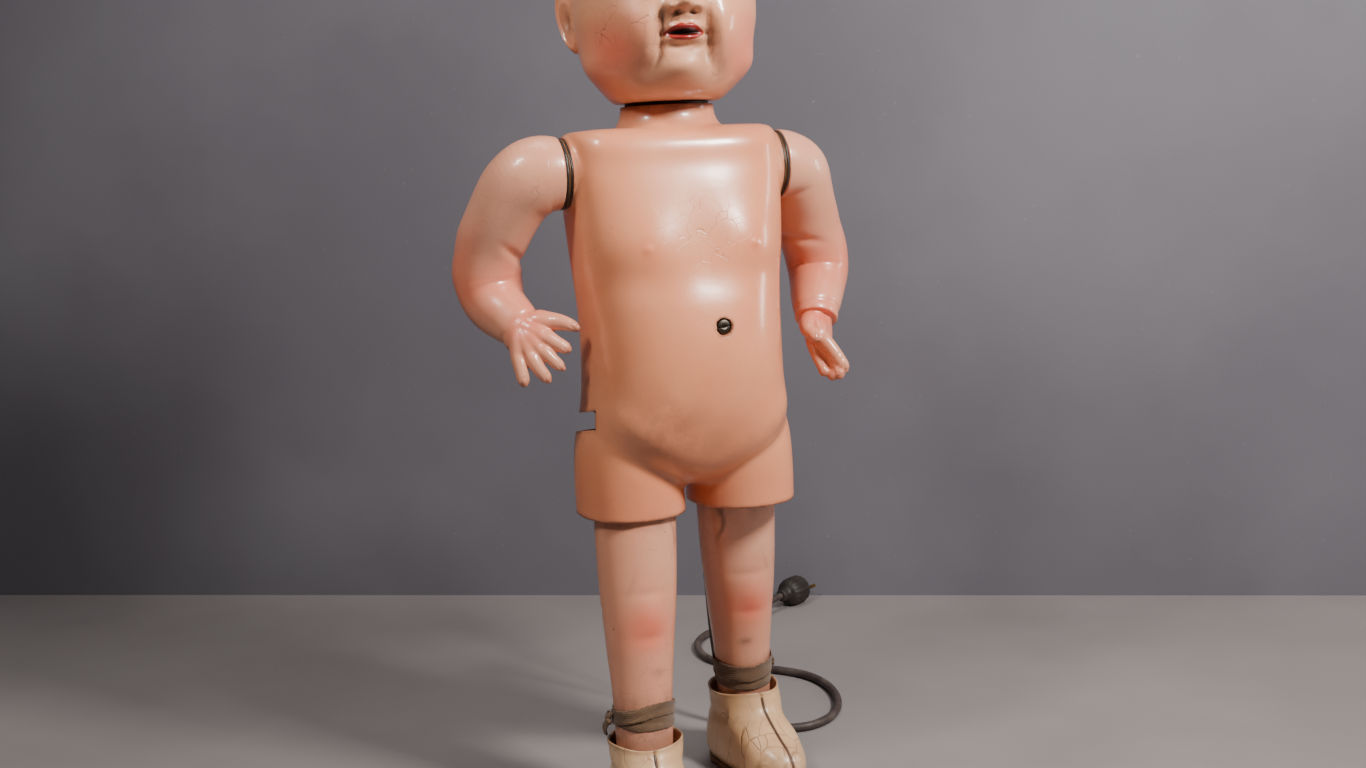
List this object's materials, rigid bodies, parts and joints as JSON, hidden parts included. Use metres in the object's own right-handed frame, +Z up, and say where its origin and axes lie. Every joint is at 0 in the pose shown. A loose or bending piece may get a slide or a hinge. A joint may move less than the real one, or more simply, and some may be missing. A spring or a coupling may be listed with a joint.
{
  "type": "electric walking doll",
  "caption": "Toddler-shaped mechanical doll with lacquered body, swinging legs and arms, turning head and a mains cord.",
  "frame": {"origin": "on the floor, under the middle of the doll's box without its cord", "axes": "+Z up, the doll faces -Y, its left hand is at +X"},
  "size_m": [0.5311, 0.6401, 0.809],
  "materials": {
    "body_lacquer": "warm peach lacquer over composition, scuffed and crazed",
    "limb_lacquer": "paler lacquer with pink blush on knees, forearms and hands",
    "shoe_leather": "cream leather, cracked and polished",
    "sole_leather": "brown sole leather with worn edge",
    "strap_cloth": "brown woven strip, frayed",
    "dark_leather": "near-black leather disc with a thin tan edge",
    "steel": "aged plain steel",
    "brass": "aged brass",
    "motor_iron": "black japanned iron",
    "rubber": "dark brown rubber, dusty",
    "plug_moulding": "dark brown moulding, worn"
  },
  "bodies": {
    "torso": {"back_panel": "body_lacquer", "belly_screw": "steel", "cord_grommet": "rubber", "cord_plug": "plug_moulding", "frame_left_plate": "steel", "frame_right_plate": "steel", "hip_shaft": "steel", "left_shoulder_bush": "brass", "left_torso_disc": "dark_leather", "lower_bridge": "steel", "lower_post": "brass", "motor_bracket": "steel", "motor_housing": "motor_iron", "motor_lead": "rubber", "neck_bridge": "steel", "neck_bush": "brass", "neck_washer": "dark_leather", "panel_screw_1": "steel", "panel_screw_2": "steel", "panel_screw_3": "steel", "panel_screw_4": "steel", "plug_pin_1": "brass", "plug_pin_2": "brass", "power_cord": "rubber", "rear_post": "brass", "right_shoulder_bush": "brass", "right_torso_disc": "dark_leather", "torso_shell": "body_lacquer", "upper_post": "brass", "worm_bearing": "brass"},
    "right_leg": {"right_leg": "limb_lacquer", "right_hip_lever": "steel", "right_shoe_upper": "shoe_leather", "right_shoe_sole": "sole_leather", "right_ankle_strap": "strap_cloth"},
    "left_leg": {"left_leg": "limb_lacquer", "left_hip_lever": "steel", "left_shoe_upper": "shoe_leather", "left_shoe_sole": "sole_leather", "left_ankle_strap": "strap_cloth"},
    "right_arm": {"right_arm": "limb_lacquer", "right_arm_disc": "dark_leather", "right_arm_shaft": "steel", "right_arm_lever": "steel"},
    "left_arm": {"left_arm": "limb_lacquer", "left_arm_disc": "dark_leather", "left_arm_shaft": "steel", "left_arm_lever": "steel"},
    "head": {"head_shell": "body_lacquer", "head_plate": "steel", "head_spindle": "steel", "head_lever": "steel"},
    "rotor": {"motor_rotor": "steel", "worm": "brass"},
    "cranks": {"worm_wheel": "brass", "crankshaft": "steel", "right_crank": "steel", "left_crank": "steel"}
  },
  "joints": [
    {"name": "hip_right", "type": "hinge", "parent": "torso", "child": "right_leg", "pos_m": [0, 0.02205, 0.36], "axis": [1, 0, 0], "range_deg": [0, 16]},
    {"name": "hip_left", "type": "hinge", "parent": "torso", "child": "left_leg", "pos_m": [0, 0.02205, 0.36], "axis": [1, 0, 0], "range_deg": [-16, 0]},
    {"name": "shoulder_right", "type": "hinge", "parent": "torso", "child": "right_arm", "pos_m": [0, 0.02205, 0.553], "axis": [1, 0, 0], "range_deg": [-19.82, 0]},
    {"name": "shoulder_left", "type": "hinge", "parent": "torso", "child": "left_arm", "pos_m": [0, 0.02205, 0.553], "axis": [1, 0, 0], "range_deg": [0, 19.82]},
    {"name": "head_turn", "type": "hinge", "parent": "torso", "child": "head", "pos_m": [0, 0.02205, 0.62], "axis": [0, 0, 1], "range_deg": [0, 11.71]},
    {"name": "motor_spin", "type": "hinge", "parent": "torso", "child": "rotor", "pos_m": [0, 0.02205, 0.4045], "axis": [0, 1, 0], "continuous": true},
    {"name": "crank_spin", "type": "hinge", "parent": "torso", "child": "cranks", "pos_m": [0, 0.02205, 0.435], "axis": [1, 0, 0], "continuous": true}
  ],
  "couplings": [
    {"joint": "hip_left", "follows": "hip_right", "ratio": -1},
    {"joint": "shoulder_right", "follows": "hip_right", "ratio": -1.2386},
    {"joint": "shoulder_left", "follows": "hip_right", "ratio": 1.2386},
    {"joint": "head_turn", "follows": "hip_right", "ratio": 0.7316},
    {"joint": "crank_spin", "follows": "motor_spin", "ratio": -0.033333}
  ]
}
